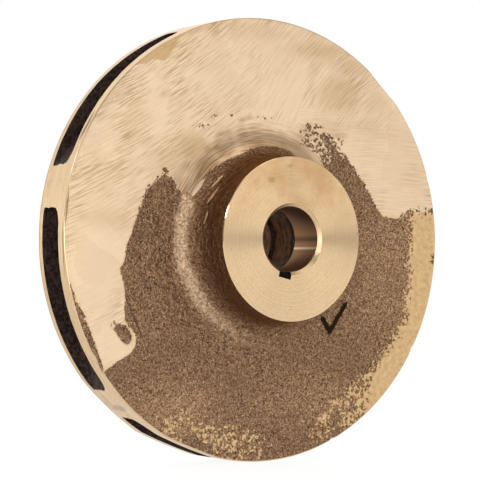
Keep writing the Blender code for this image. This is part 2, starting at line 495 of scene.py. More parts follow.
def lineDistance(points, line):
    corners = np.array(line, dtype=float)
    nearest = np.full(len(points), 1e9)
    for start, end in zip(corners, corners[1:]):
        nearest = np.minimum(nearest, gapTo(points, start, end))
    return nearest


def edgeDistance(points, outline):
    # Signed distance to a closed outline, positive inside it.
    nearest = lineDistance(points, outline + outline[:1])
    inside = np.zeros(len(points), dtype=bool)
    corners = np.array(outline, dtype=float)
    for start, end in zip(corners, np.roll(corners, -1, axis=0)):
        crosses = (start[1] > points[:, 1]) != (end[1] > points[:, 1])
        if end[1] != start[1]:
            meet = start[0] + (points[:, 1] - start[1]) * (end[0] - start[0]) / (end[1] - start[1])
            inside ^= crosses & (points[:, 0] < meet)
    return np.where(inside, nearest, -nearest)


def spotReach(points, x, y, wide, high):
    # Distance from a spot's middle, 1 at its reach both ways.
    return np.hypot((points[:, 0] - x) / wide, (points[:, 1] - y) / high)


# Where the grinder and the lathe took the cast skin off, on the disc's plane from the shaft axis
wear = {
    "ground": [
        (-81, -57), (-75.5, -53.5), (-70, -50.6), (-66.8, -48.8), (-64.8, -46), (-64.2, -43),
        (-65.3, -40.2), (-67.5, -38), (-70, -35.5), (-70.2, -30), (-69.6, -25), (-70.2, -20.5),
        (-71.6, -16), (-72.6, -12.8), (-70.4, -10), (-69.6, -5), (-67.8, 0), (-66.2, 4.5), (-64, 10),
        (-62.2, 15), (-61, 19), (-58.6, 21.8), (-55, 25.4), (-52, 27.2), (-50, 30.4), (-48.2, 27),
        (-45.6, 25), (-44.4, 21.6), (-41.5, 19.8), (-38.5, 20), (-36.5, 18.4), (-34, 22.4), (-30, 27.4),
        (-25, 31.4), (-18.5, 35), (-12, 37.4), (-6, 40.4), (0, 41.4), (6, 41.8), (11, 41.2),
        (15, 39.8), (18, 37.8), (24, 36), (31, 32), (34, 32.5), (33.6, 37), (30, 40.5),
        (25.5, 42.5), (23.6, 46), (26, 49.6), (32, 48.8), (38, 47.6), (41, 44), (43, 40.4), (47, 38),
        (50, 34.2), (52.4, 32), (55, 28.6), (58, 25.6), (60.8, 21.2), (62.6, 17), (65.4, 13.8),
        (67.4, 11.4), (71, 10.7), (75.5, 10.3), (79.2, 10.9), (80.6, 13.2), (84, 13.6), (99, 13.6),
        (140, 14), (140, 140), (-140, 140), (-140, -57),
    ],
    "islands": [
        [(-76.4, -37.6), (-73, -36.2), (-70, -37.4), (-67.6, -39.4), (-66.4, -42.2), (-67, -44.4),
         (-69.2, -45.2), (-71.6, -44), (-73, -41.6), (-74.8, -39.6)],
        [(-97.6, -16), (-95.6, -21), (-93.5, -26), (-90.6, -31.2), (-88.2, -36.2), (-86.4, -40.0),
         (-85.2, -43.2), (-83.7, -46.8), (-82.4, -50.2), (-81.4, -53.0), (-80.4, -56.6), (-84, -60),
         (-92, -47), (-99, -29), (-102, -16)],
    ],
    "band": [
        (83.6, 13.5), (83.4, 10), (84, 5), (84.6, 0), (84, -5), (82.2, -9), (83.6, -14), (82.6, -20),
        (82, -25), (80.6, -30), (82, -36), (78.6, -39), (76.6, -44), (73, -47), (71, -50.6),
        (67, -53.4), (65, -57.4), (61.6, -60.4), (60.6, -64), (59.4, -68), (58.4, -73), (58, -78),
        (62, -90), (70, -110), (140, -110), (140, 13.5),
    ],
    "edgeRaggedness": 0.55,
    "bandRaggedness": 4.6,
    "rightRaggedness": 0.9,
    "leftRaggedness": 0.7,
    "rearBand": 91.0,
    "rearRaggedness": 1.8,
    "unworn": -20.0,
}

# Spots worn through on the high grains: place, reach both ways, share of bare metal, raggedness
brightSpots = [
    (-40, -77, 5, 4, 0.42, 3.2), (-48, -81, 4, 4, 0.52, 3.2), (-26, -85, 8, 5, 0.47, 3.0),
    (-18, -89, 8, 6, 0.5, 3.2), (-9, -88, 8, 6, 0.4, 3.0), (-14, -95, 10, 3, 0.38, 3.0),
    (-33.5, -83, 3, 3, 0.4, 2.6), (-44, -87, 3, 2.4, 0.45, 2.6), (4, -92, 10, 6, 0.16, 3.0),
    (34, -81, 4, 3, 0.62, 3.2),
    (43, -76, 7, 6, 0.42, 3.2), (51, -71, 7, 6, 0.5, 3.2), (50, -82, 9, 5, 0.48, 3.2),
    (57, -76, 6, 8, 0.58, 3.2), (32, -88, 8, 5, 0.34, 3.2), (59, -65, 6, 5, 0.56, 3.0),
    (70, -54, 6, 5, 0.5, 3.0),
    (25, 46, 4, 6, 0.56, 2.6), (30, 44, 6, 6, 0.5, 2.6), (38, 45, 5, 4, 0.4, 2.6),
    (35, 38, 4, 5, 0.46, 2.6), (43, 40, 4, 4, 0.3, 2.6),
]

# Pits left dark where the grinder only just cleaned up
darkSpots = [
    (-24, 54, 4, 1.4, 0.62, 3.0), (-15, 55, 3, 1.2, 0.64, 3.0), (3.5, 54.8, 8, 1.5, 0.7, 3.0),
    (25.5, 52, 2.4, 1.8, 0.5, 3.0), (-32, 49.6, 7, 1.8, 0.74, 3.0), (-90, -26, 4, 2, 0.84, 2.0),
    (-86, -33, 5, 3, 0.84, 2.0), (91, -6, 5, 9, 0.9, 2.0), (97, -8.5, 2.0, 4.6, 0.42, 2.0),
    (96.6, 14, 1.8, 2.6, 0.4, 2.0), (-77, -36, 4, 2, 0.68, 2.0),
    (-50.6, 29.5, 2.2, 2.6, 0.5, 2.0), (-47, 24, 2.0, 2.6, 0.5, 2.0), (-57, 22.5, 2.4, 3, 0.55, 2.0),
    (22, 47, 3, 6, 0.62, 2.6), (30, 51, 6, 2.6, 0.66, 2.6), (43, 45, 4, 3, 0.62, 2.6),
]


def bareMetal(points):
    # How far inside the bare metal each point lies, how ragged its edge is, and how much is ground.
    ground = edgeDistance(points, wear["ground"])
    for island in wear["islands"]:
        ground = np.minimum(ground, -edgeDistance(points, island))
    band = edgeDistance(points, wear["band"])
    ragged = np.full(len(points), wear["edgeRaggedness"])
    nearBand = smoothStep(band, -7.0, -3.0)
    ragged += nearBand * (wear["bandRaggedness"] - wear["edgeRaggedness"])
    speckled = smoothStep(points[:, 0], 18.0, 24.0) * smoothStep(points[:, 1], 14.0, 24.0)
    ragged += speckled * (1.0 - nearBand) * wear["rightRaggedness"]
    crumbled = smoothStep(-points[:, 0], 40.0, 46.0) * smoothStep(points[:, 1], -2.0, 10.0)
    ragged += crumbled * wear["leftRaggedness"]
    depth = np.maximum(ground, band)
    for x, y, wide, high, share, spread in brightSpots:
        weight = smoothStep(-spotReach(points, x, y, wide, high), -1.5, -0.5)
        ragged = ragged + (spread - ragged) * weight
        level = (2.0 * share * weight - 1.0) * ragged
        depth = np.where(weight > 0.0, np.maximum(depth, level), depth)
    for x, y, wide, high, share, spread in darkSpots:
        weight = smoothStep(-spotReach(points, x, y, wide, high), -1.5, -0.6)
        ragged = ragged + (spread - ragged) * weight
        level = (2.0 * share - 1.0) * ragged + (1.0 - weight) * 8.0
        depth = np.where(weight > 0.0, np.minimum(depth, level), depth)
    groundShare = np.maximum(smoothStep(ground, -1.0, 1.0), smoothStep(points[:, 1], 14.0, 20.0))
    return depth, ragged, groundShare


# Painted sheen: the fillet's skin is lightened where a lamp's reflection falls, along a line on the disc's
# plane with its half width
sheenBand = {
    "line": [
        (-38.9, 16.3), (-42.0, 8.4), (-42.3, 0.6), (-42.0, -7.8), (-39.5, -15.1), (-35.8, -21.4),
        (-33.4, -26.1), (-29.2, -30.2), (-20.9, -36.9), (-8.8, -43.7), (4.0, -49.3),
    ],
    "inner": 1.2,
    "outer": 5.4,
    "lowShare": 0.6,        # it fades towards its lower and its right end
    "lowFade": (-38.0, -14.0),
    "rightShare": 0.8,
    "rightFade": (-26.0, -2.0),
}

# Long thin marks on the disc's plane: middle, half length, half width, slope in degrees
marks = {
    "dark": [
        (-65.2, -34.4, 11.5, 0.42, -64.0), (-60.8, -44.0, 4.0, 0.3, -72.0), (-88.5, 47.2, 8.0, 0.65, 59.0),
        (-82.4, -54.4, 3.4, 0.4, -60.0), (-99.4, -5.0, 12.0, 0.3, -88.0), (-97.45, 13.0, 8.5, 0.6, 82.8),
    ],
    "polishAndHighlight": [
        (-33.2, 22.6, 5.6, 1.15, 50.0), (-25.6, 19.4, 4.6, 0.5, 48.0), (-29.2, 9.6, 3.0, 0.4, 72.0),
        # the last of these is a painted highlight along the disc's front edge; the others are polished
        # streaks
        (-23.2, 25.6, 4.6, 0.5, 42.0), (-93.9, 32.4, 8.0, 0.35, 71.0),
    ],
    "stain": [
        (-73.6, -72.4, 4.2, 1.5, -8.0), (5.6, 26.6, 2.6, 2.2, 0.0), (17.0, 33.6, 6.0, 1.4, 12.0),
        (-92.0, -25.4, 2.4, 0.7, 20.0), (45.0, 30.0, 2.0, 1.6, 0.0),
    ],
}

# Soft spots of another tone, as place, reach both ways and share, and one flat with a crisp edge
tones = {
    "dull": [
        (-36, 40, 12, 8, 0.75), (-48, 32, 10, 8, 0.4), (44, 67, 14, 9, 0.6), (36, 86, 26, 5, 0.5),
        (52, 80, 12, 6, 0.5), (-14, 46, 16, 5, 0.35), (60, 52, 10, 8, 0.3), (-80, 8, 14, 6, 0.3),
        (64, 64, 9, 7, 0.35), (-6, 92, 22, 5, 0.3), (-62, 52, 8, 6, 0.25), (34, 50, 14, 6, 0.3),
        (6, 42, 20, 6, 0.6), (-30, 32, 11, 7, 0.85), (-19, 39, 13, 5, 0.6),
    ],
    "paleCast": [(70, -14, 26, 44, 0.5), (-44, -74, 30, 17, 0.62), (30, -74, 44, 18, 0.3)],
    "calm": [
        (-80, -44, 15, 14, 0.9), (30, 72, 18, 12, 0.4), (-58, 52, 12, 10, 0.4), (-76, 0, 14, 10, 0.5),
        (-86, -14, 17, 26, 0.75), (72, 40, 34, 34, 0.5),
    ],
    "flat": [
        (-66, 74.4), (-60, 75.2), (-55.4, 77.6), (-50.4, 77), (-47, 80.4), (-45.8, 84), (-43, 87.4),
        (-38, 90.6), (-30, 95.6), (-46, 92), (-58, 84), (-68, 76),
    ],
    "unseenDull": 0.2,
}

# An inspector's tick in dark layout ink beside the hub
tick = {
    "line": [(33.4, -35.6), (37.2, -41.8), (46.2, -29.4)],
    "halfWidth": 1.2,
}

# Which finish each surface of the section takes
surfaces = {
    "discSide": "skin", "shroudSide": "skin", "rim": "rim", "boreMouth": "rim",
    "hubFace": "faced", "noseFace": "faced", "neckFace": "faced", "hubEdge": "chamfered",
    "bore": "bored", "neckSide": "bored", "eyeSide": "bored", "relief": "darkened", "rearLand": "darkened",
    "rearStep": "cored", "bell": "cored", "vaneEdge": "cored", "hubCurve": "cored",
}
finishes = ["skin", "rim", "faced", "bored", "cored", "darkened", "chamfered"]


def meshArray(collection, field, width):
    values = np.empty(len(collection) * width)
    collection.foreach_get(field, values)
    return values.reshape(len(collection), width)


def aroundShaft(places):
    # Distance from the shaft axis, and depth behind the disc's plane.
    radius = np.hypot(places[:, 0], places[:, 2] - seat["axisZ"])
    return radius, places[:, 1] - seat["faceY"]


def sortFaces(mesh):
    # Each face takes the finish of the stretch of the section that it lies on, and a cut face is cored.
    radius, back = aroundShaft(meshArray(mesh.polygons, "center", 3) / mm)
    places = np.stack([radius, back], axis=1)
    nearest = np.full(len(places), 0.06)
    finish = np.full(len(places), finishes.index("cored"))
    turned = np.zeros(len(places), dtype=bool)
    corners = np.array([point for _, point in section])
    for (surface, _), start, end in zip(section, corners, np.roll(corners, -1, axis=0)):
        gap = gapTo(places, start, end)
        closer = gap < nearest
        nearest = np.where(closer, gap, nearest)
        finish = np.where(closer, finishes.index(surfaces[surface]), finish)
        turned |= closer
    # the keyway's faces take the darkened finish, as painted shade in the slot
    keyed = ~turned & (radius < keyway["floorRadius"] + 1.4)
    return np.where(keyed, finishes.index("darkened"), finish)


finishOfFace = sortFaces(body.data)

# How uneven the cast skin, the ground area and the rim are
relief = {
    "skinHeight": 0.16,
    "skinScale": 5.0,
    "waveHeight": 0.22,
    "waveScale": 17.0,
    "groundCut": 0.08,
    "groundWave": 0.12,
    "groundScale": 26.0,
    "rimFade": (0.4, 3.0),  # the skin evens out towards the rim's edge and the hub's
    "hubFade": (-23.7, -20.4),
    "rollOver": 1.5,        # the front edge falls back where the grinder ran over it
    "rollFrom": (118.0, 140.0),
    "rollTo": (-198.0, -174.0),
    "rollInner": 84.0,
    "rollOuter": 5.6,
    "rollCurve": 2.2,
}

# Flats and nicks on the rim: angle from +X, half width in degrees, cut, and first and last depth
rimDents = [
    (46.5, 6.0, 0.75, -1.0, 25.0),
    (229.0, 10.0, 0.6, 14.0, 25.0),
    (248.0, 9.0, 0.7, -1.0, 25.0),
    (329.0, 1.2, 0.5, -1.0, 4.0),
    (293.0, 1.0, 0.45, -1.0, 4.0),
    (17.0, 1.2, 0.45, -1.0, 4.0),
    (212.0, 3.0, 0.35, -1.0, 5.0),
]

# Depth behind the disc's plane that still counts as its front
frontReach = 0.3


def castLift(places, bare, chosen):
    # How far the skin stands out at the chosen points: grainy as cast, and flatter where ground.
    r = relief
    lift = np.zeros(len(places))
    for index in np.flatnonzero(chosen):
        spot = Vector(places[index])
        fine = noise.noise(spot / r["skinScale"]) + 0.5 * noise.noise(spot / r["skinScale"] * 2.1)
        wave = noise.noise(spot / r["waveScale"] + Vector((7.0, 3.0, 1.0)))
        broad = noise.noise(spot / r["groundScale"] + Vector((2.0, 9.0, 4.0)))
        cast = fine * r["skinHeight"] + wave * r["waveHeight"]
        ground = broad * r["groundWave"] - r["groundCut"]
        lift[index] = cast + (ground - cast) * bare[index]
    return lift


def roughen(mesh):
    r = relief
    rim = casting["rimRadius"]
    places = meshArray(mesh.vertices, "co", 3) / mm
    normals = meshArray(mesh.vertices, "normal", 3)
    touches = {name: np.zeros(len(places), dtype=bool) for name in finishes}
    for face in mesh.polygons:
        touches[finishes[finishOfFace[face.index]]][list(face.vertices)] = True
    machined = touches["rim"] | touches["faced"] | touches["bored"]
    skin = touches["skin"] & ~machined & ~touches["chamfered"]
    cored = touches["cored"] & ~machined & ~touches["skin"]
    depth, _, _ = bareMetal(seen(places))
    radius, back = aroundShaft(places)
    bare = np.where(back < frontReach, smoothStep(depth, -0.8, 0.8), 0.0)
    fade = smoothStep(rim - radius, *r["rimFade"]) * smoothStep(back, *r["hubFade"])
    lift = castLift(places, bare, skin | cored) * np.where(skin, fade, 1.0)
    moved = places + normals * lift[:, None]
    angle = np.degrees(np.arctan2(moved[:, 2] - seat["axisZ"], moved[:, 0])) % 360.0
    back = moved[:, 1] - seat["faceY"]
    scale = np.ones(len(moved))
    for middle, half, cut, first, last in rimDents:
        away = np.abs((angle - middle + 180.0) % 360.0 - 180.0) / half
        bite = cut * np.clip(1.0 - away ** 2, 0.0, 1.0) * (back >= first) * (back <= last)
        bite *= smoothStep(radius, rim - 3.0, rim - 0.3)
        scale -= bite / rim
    roll = smoothStep(angle, *r["rollFrom"]) * smoothStep(-angle, *r["rollTo"]) * (radius > r["rollInner"])
    share = np.clip((radius - r["rollInner"]) / (rim - r["rollInner"]), 0.0, 1.0) ** r["rollCurve"]
    share *= np.clip(1.0 - back / r["rollOuter"], 0.0, 1.0)
    moved[:, 1] += r["rollOver"] * roll * share
    moved[:, 0] *= scale
    moved[:, 2] = seat["axisZ"] + (moved[:, 2] - seat["axisZ"]) * scale
    mesh.vertices.foreach_set("co", (moved * mm).ravel())


def spotShare(points, spots, outer, inner):
    # Share of the strongest soft spot at each point, full inside the inner reach.
    share = np.zeros(len(points))
    for x, y, wide, high, most in spots:
        away = spotReach(points, x, y, wide, high)
        share = np.maximum(share, most * smoothStep(-away, -outer, -inner))
    return share


def paintPoints(mesh, places, normals):
    # Points that the photo's camera sees carry the wear and marks; the rest get plain values.
    flat = seen(places)
    toSpot = np.array(photoSpot) - places
    facing = (normals * toSpot).sum(axis=1) > -0.05 * np.linalg.norm(toSpot, axis=1)
    depth, ragged, ground = bareMetal(flat)
    radius, back = aroundShaft(places)
    front = back < frontReach
    hidden = (back < -5.0) & (places[:, 0] > 0.0)
    worn = front & ~hidden
    shown = facing & ~hidden & (back < casting["rimWidth"] + frontReach)
    depth = np.where(worn, depth, radius - wear["rearBand"])
    # painted sheen along the fillet, fainter towards its lower and its right end
    paintedSheen = smoothStep(-lineDistance(flat, sheenBand["line"]), -sheenBand["outer"], -sheenBand["inner"])
    low = smoothStep(flat[:, 1], *sheenBand["lowFade"])
    paintedSheen *= sheenBand["lowShare"] + (1.0 - sheenBand["lowShare"]) * low
    paintedSheen *= 1.0 - sheenBand["rightShare"] * smoothStep(flat[:, 0], *sheenBand["rightFade"])
    inkGap = lineDistance(flat, tick["line"]) - tick["halfWidth"]
    painted = {
        "bareDepth": np.where(hidden, wear["unworn"], depth),
        "ragged": np.where(worn, ragged, wear["rearRaggedness"]),
        "groundShare": np.where(worn, ground, 0.0),
        "inkGap": np.where(front, inkGap, 20.0),
        "dull": np.where(shown, spotShare(flat, tones["dull"], 1.3, 0.2), tones["unseenDull"]),
        "flatEdge": np.where(shown, edgeDistance(flat, tones["flat"]), wear["unworn"]),
        # painted shade: the skin darkens down the fillet and on the hub's side wall, in the corner between
        # hub and disc
        "paintedHubShade": smoothStep(-back, 3.4, 8.0) * (radius < casting["hubRadius"] + 12.0),
        "paintedSheen": np.where(shown, paintedSheen, 0.0),
        "pale": spotShare(flat, tones["paleCast"], 1.2, 0.0),
        "stroked": 1.0 - spotShare(flat, tones["calm"], 1.2, 0.4),
    }
    for name, values in painted.items():
        layer = mesh.attributes.new(name, "FLOAT", "POINT")
        layer.data.foreach_set("value", values.astype(np.float32))
    upright = np.stack([flat[:, 0], np.zeros(len(flat)), flat[:, 1]], axis=1)
    sight = np.where(shown[:, None], upright, 1000.0)
    layer = mesh.attributes.new("sight", "FLOAT_VECTOR", "POINT")
    layer.data.foreach_set("vector", (sight * mm).astype(np.float32).ravel())
    return list(painted)


turnedPlaces = meshArray(body.data.vertices, "co", 3) / mm
paintedNames = paintPoints(body.data, turnedPlaces, meshArray(body.data.vertices, "normal", 3))
roughen(body.data)
body.data.update()
print("cast skin roughened and wear laid out")

# The one setting that each kind of node takes here
modeOf = {
    "Attribute": "attribute_name",
    "Mapping": "vector_type",
    "MapRange": "interpolation_type",
    "Math": "operation",
    "Mix": "data_type",
    "TexNoise": "noise_dimensions",
    "VectorMath": "operation",
}


def linear(hexColour):
    channels = [int(hexColour[index:index + 2], 16) / 255.0 for index in (1, 3, 5)]
    return [c / 12.92 if c <= 0.04045 else ((c + 0.055) / 1.055) ** 2.4 for c in channels] + [1.0]


def emptyNodes(owner):
    # Clears the nodes of a material or the world and gives back the function that adds new ones.
    owner.use_nodes = True
    owner.node_tree.nodes.clear()

    def addNode(kind, inputs=(), mode=None, output=None):
        # Adds one node and gives back its named output, or else the first in use. Inputs are listed for
        # the sockets in use, or by name: a socket is linked, a text is a colour, the rest are values.
        node = owner.node_tree.nodes.new("ShaderNode" + kind)
        if mode:
            setattr(node, modeOf[kind], mode)
        if isinstance(inputs, dict):
            pairs = [(node.inputs[name], value) for name, value in inputs.items()]
        else:
            pairs = zip([socket for socket in node.inputs if socket.enabled], inputs)
        for socket, value in pairs:
            if isinstance(value, bpy.types.NodeSocket):
                owner.node_tree.links.new(value, socket)
            else:
                socket.default_value = linear(value) if isinstance(value, str) else value
        if output:
            return node.outputs[output]
        return next((socket for socket in node.outputs if socket.enabled), None)

    return addNode


def endFinish(add, shading, height=None):
    # Ends a finish with its shader, over a bump where a height in metres is given.
    if height:
        shading["Normal"] = add("Bump", {"Height": height, "Distance": 1.0, "Strength": 1.0})
    add("OutputMaterial", {"Surface": add("BsdfPrincipled", shading)})


def layTones(add, tone, layers):
    # Lays colours over a tone, each by its share.
    for share, colour in layers:
        tone = add("Mix", [share, tone, colour], "RGBA")
    return tone


def markReach(add, sight, mark):
    # Distance from a long mark's middle, 1 at its edge.
    x, y, length, half, slope = mark
    turned = add("Mapping", [
        sight, (x * mm, 0.0, y * mm), (0.0, -math.radians(slope), 0.0), (length * mm, 1.0, half * mm),
    ], "TEXTURE")
    return add("VectorMath", [turned], "LENGTH")


def layMarks(add, tone, rows, paint, grain):
    # Lays grainy long marks over a tone; paint is the colour, share, raggedness and edge's two reaches.
    colour, share, ragged, near, far = paint
    sight = add("Attribute", mode="sight", output="Vector")
    for mark in rows:
        reach = add("Math", [grain, ragged, markReach(add, sight, mark)], "MULTIPLY_ADD")
        cover = add("MapRange", [reach, near, far, share, 0.0], "SMOOTHSTEP")
        tone = add("Mix", [cover, tone, colour], "RGBA")
    return tone


# How the cast and ground metal look: sizes in millimetres, heights in metres
skinLook = {
    "grain": 1.0,           # sand grain, drawn coarse enough to show
    "fineGrain": 0.5,
    "wornGrain": 2.2,
    "wornCell": 1.0,
    "cloud": 22.0,
    "wormSize": 1.7,
    "leather": 3.0,
    "leatherHeight": 0.0011,
    "grainHeight": 0.0005,
    "fineHeight": 0.0002,
    "strokeHeight": 0.00004,
    "bareLevel": 0.00045,
    "castDark": "#48332A",
    "castLight": "#987355",
    "castCloud": "#6C4F3C",
    "glint": "#DDC09A",
    "paleGain": 0.78,
    "worm": "#BC9770",
    # painted shade in the corner between hub and disc: its colour and share
    "paintedHubShade": "#5A3C28",
    "paintedHubShadeShare": 0.58,
    "castRoughness": 0.4,
    # painted sheen on the fillet: its most share and its tone
    "paintedSheen": 0.6,
    "sheenTone": "#DCBF9C",
    "bareRoughness": 0.36,
    "groundDark": "#B3926D",
    "groundLight": "#EBD0AE",
    "groundDull": "#BC996F",
    "dullShare": 0.75,
    "flatGold": "#C09A6A",
    "filletGold": "#8C6036",
    "turnedDark": "#C8A372",
    "turnedLight": "#DEBC8E",
    "ink": "#241812",
    "darkMark": 0.6,
    "grazing": "#E2C298",   # bare bronze stays warm where it is seen edge on
    "pass": 19.0,
    "passShare": 0.16,
    "strokeWidth": 0.6,
    "strokeLength": 13.0,
    "patchShift": 0.06,
}

# Sweeps of the grinding disc: where each set of arcs has its centre on the disc's plane
strokeCentres = {
    "left": (-260.0, 391.0),
    "top": (128.0, -17.0),
    "right": (60.0, -420.0),
    "fillet": (0.0, 0.0),
}


def addStrokes(add, place):
    # Strokes of the grinding disc, one noise along each set of arcs.
    wander = add("TexNoise", [place, 55.0, 2.0])
    strokes = {}
    for name, (x, y) in strokeCentres.items():
        centre = (x * mm, 0.0, (y + seat["axisZ"]) * mm)
        away = add("VectorMath", [place, centre], "SUBTRACT")
        flat = add("VectorMath", [away, (1.0, 0.0, 1.0)], "MULTIPLY")
        reach = add("VectorMath", [flat], "LENGTH")
        sideways = add("SeparateXYZ", [away])
        turn = add("Math", [sideways.node.outputs["Z"], sideways], "ARCTAN2")
        arcs = max(50.0, math.hypot(x, y)) / skinLook["strokeLength"]
        along = add("Math", [turn, arcs], "MULTIPLY")
        across = add("Math", [reach, 1000.0 / skinLook["strokeWidth"]], "MULTIPLY")
        across = add("Math", [wander, 3.0, across], "MULTIPLY_ADD")
        run = add("CombineXYZ", [across, along])
        strokes[name] = add("TexNoise", [run, 1.0, 2.0, 0.55], "2D")
    return strokes


def makeSkin(add):
    # Sand-cast tin bronze: dull brown grainy skin, with light stroked metal where it was ground.
    look = skinLook
    place = add("TexCoord", output="Object")
    sight = add("Attribute", mode="sight", output="Vector")
    value = {name: add("Attribute", mode=name, output="Fac") for name in paintedNames}
    grain = add("TexNoise", [place, 1000.0 / look["grain"], 3.0, 0.6])
    fineGrain = add("TexNoise", [place, 1000.0 / look["fineGrain"], 2.0])
    wornGrain = add("TexNoise", [place, 1000.0 / look["wornGrain"], 4.0, 0.62])
    cloud = add("TexNoise", [place, 1000.0 / look["cloud"], 3.0])
    ridged = add("TexNoise", {
        "Vector": place, "Scale": 1000.0 / look["wormSize"], "Detail": 1.0, "Distortion": 0.4,
    })
    leather = add("TexNoise", {
        "Vector": place, "Scale": 1000.0 / look["leather"], "Detail": 2.0, "Distortion": 0.6,
    })

    # bare metal shows where the wear reaches the high grains
    level = add("MapRange", [wornGrain, 0.3, 0.7])
    cells = add("TexVoronoi", [place, 1000.0 / look["wornCell"]], output="Color")
    cells = add("SeparateColor", [cells])
    level = add("Mix", [0.55, level, cells])
    width = add("Math", [value["ragged"], 2.0], "MULTIPLY")
    cover = add("Math", [value["bareDepth"], width], "DIVIDE")
    cover = add("Math", [cover, level], "ADD")
    bare = add("MapRange", [cover, 0.45, 0.55], "SMOOTHSTEP")
    marked = {}
    # dark marks, and bright ones: polished streaks and a painted highlight along the disc's edge
    for kind in ("dark", "polishAndHighlight"):
        reach = markReach(add, sight, marks[kind][0])
        for mark in marks[kind][1:]:
            reach = add("Math", [reach, markReach(add, sight, mark)], "MINIMUM")
        reach = add("Math", [grain, 0.9, reach], "MULTIPLY_ADD")
        marked[kind] = add("MapRange", [reach, 1.25, 1.6, 1.0, 0.0], "SMOOTHSTEP")
    bare = add("Math", [bare, marked["polishAndHighlight"]], "MAXIMUM")

    # four sets of strokes, which meet in patches
    strokes = addStrokes(add, place)
    sideways = add("SeparateXYZ", [place])
    filletLeft = add("MapRange", [sideways, 0.012, -0.02, 0.5, 1.0], "SMOOTHSTEP")
    patches = add("TexNoise", [place, 60.0, 2.0])
    patchShift = add("Math", [patches, look["patchShift"], -0.5 * look["patchShift"]], "MULTIPLY_ADD")
    upwards = add("Math", [sideways.node.outputs["Z"], patchShift], "ADD")
    sideways = add("Math", [sideways, patchShift], "ADD")
    toTop = add("MapRange", [sideways, -0.008, 0.004])
    toRight = add("MapRange", [upwards, 0.157, 0.151])
    rightHalf = add("MapRange", [sideways, 0.012, 0.022])
    toRight = add("Math", [toRight, rightHalf], "MULTIPLY")
    shaft = (0.0, seat["faceY"] * mm, seat["axisZ"] * mm)
    fromShaft = add("VectorMath", [place, shaft], "DISTANCE")
    fromShaft = add("Math", [fromShaft, patchShift], "ADD")
    toFillet = add("MapRange", [fromShaft, 0.054, 0.048])
    lines = add("Mix", [toTop, strokes["left"], strokes["top"]])
    lines = add("Mix", [toRight, lines, strokes["right"]])
    lines = add("Mix", [toFillet, lines, strokes["fillet"]])
    strength = add("MapRange", [patches, 0.42, 0.62, 0.25, 1.0])
    strength = add("Math", [strength, value["dull"]], "MAXIMUM")
    strength = add("Math", [strength, value["stroked"]], "MULTIPLY")
    lineTone = add("MapRange", [lines, 0.58, 0.34, 0.0, 0.85])
    lineTone = add("Math", [lineTone, strength], "MULTIPLY")
    filletLines = add("MapRange", [strokes["fillet"], 0.6, 0.38, 0.25, 1.0])
    inFillet = add("MapRange", [fromShaft, 0.053, 0.043, 0.0, 0.8], "SMOOTHSTEP")
    inFillet = add("Math", [inFillet, filletLines], "MULTIPLY")
    inFillet = add("Math", [inFillet, filletLeft], "MULTIPLY")

    # ground metal changes tone from one pass of the grinder to the next
    bend = add("TexNoise", [place, 90.0, 2.0], output="Color")
    bent = add("VectorMath", [bend, (0.014, 0.014, 0.014), place], "MULTIPLY_ADD")
    passes = add("TexVoronoi", [bent, 1000.0 / look["pass"]], output="Color")
    passes = add("SeparateColor", [passes])
    passShare = add("Math", [passes, look["passShare"]], "MULTIPLY")
    dullShare = add("Math", [value["dull"], look["dullShare"]], "MULTIPLY")
    flatShare = add("MapRange", [value["flatEdge"], -0.35, 0.35, 0.0, 0.75])
    groundTone = add("Mix", [lineTone, look["groundLight"], look["groundDark"]], "RGBA")
    groundTone = layTones(add, groundTone, (
        (dullShare, look["groundDull"]), (inFillet, look["filletGold"]),
        (passShare, look["groundDull"]), (flatShare, look["flatGold"]),
    ))
    turnedShare = add("MapRange", [wornGrain, 0.35, 0.65])
    turnedTone = add("Mix", [turnedShare, look["turnedDark"], look["turnedLight"]], "RGBA")
    bareTone = layTones(add, turnedTone, (
        (value["groundShare"], groundTone), (marked["polishAndHighlight"], look["groundLight"]),
    ))

    # cast skin: dark hollows, lighter grains with a few glints, worm-like ridges and broad clouds
    grainShare = add("MapRange", [grain, 0.36, 0.66])
    cloudShare = add("MapRange", [cloud, 0.4, 0.65, 0.0, 0.45])
    ridge = add("Math", [ridged, 0.5], "SUBTRACT")
    ridge = add("Math", [ridge], "ABSOLUTE")
    worm = add("MapRange", [ridge, 0.0, 0.07, 0.5, 0.0], "SMOOTHSTEP")
    glint = add("MapRange", [fineGrain, 0.6, 0.7, 0.0, 0.8])
    # painted sheen: a lighter tone on the high grains along the fillet, where a lamp's reflection falls
    sheenEdge = add("Math", [wornGrain, 1.6, value["paintedSheen"]], "MULTIPLY_ADD")
    sheenShare = add("MapRange", [sheenEdge, 0.7, 2.1, 0.0, look["paintedSheen"]], "SMOOTHSTEP")
    highGrains = add("MapRange", [grain, 0.38, 0.62, 0.6, 1.8])
    sheenShare = add("Math", [sheenShare, highGrains], "MULTIPLY")
    sheenShare.node.use_clamp = True
    castTone = add("Mix", [grainShare, look["castDark"], look["castLight"]], "RGBA")
    castTone = layTones(add, castTone, (
        (cloudShare, look["castCloud"]), (worm, look["worm"]),
        (glint, look["glint"]), (sheenShare, look["sheenTone"]),
    ))
    paleGain = add("Math", [value["pale"], look["paleGain"], 1.0], "MULTIPLY_ADD")
    castTone = add("VectorMath", [castTone, paleGain], "SCALE")
    # painted shade down the fillet and on the hub's side wall
    hubShadeShare = add("Math", [value["paintedHubShade"], look["paintedHubShadeShare"]], "MULTIPLY")
    castTone = add("Mix", [hubShadeShare, castTone, look["paintedHubShade"]], "RGBA")

    darkShare = add("Math", [marked["dark"], look["darkMark"]], "MULTIPLY")
    tone = layTones(add, castTone, ((bare, bareTone), (darkShare, look["castDark"])))
    ragInk = add("Math", [grain, 1.6, value["inkGap"]], "MULTIPLY_ADD")
    clean = add("MapRange", [ragInk, 0.6, 1.05])
    tone = add("Mix", [clean, look["ink"], tone], "RGBA")

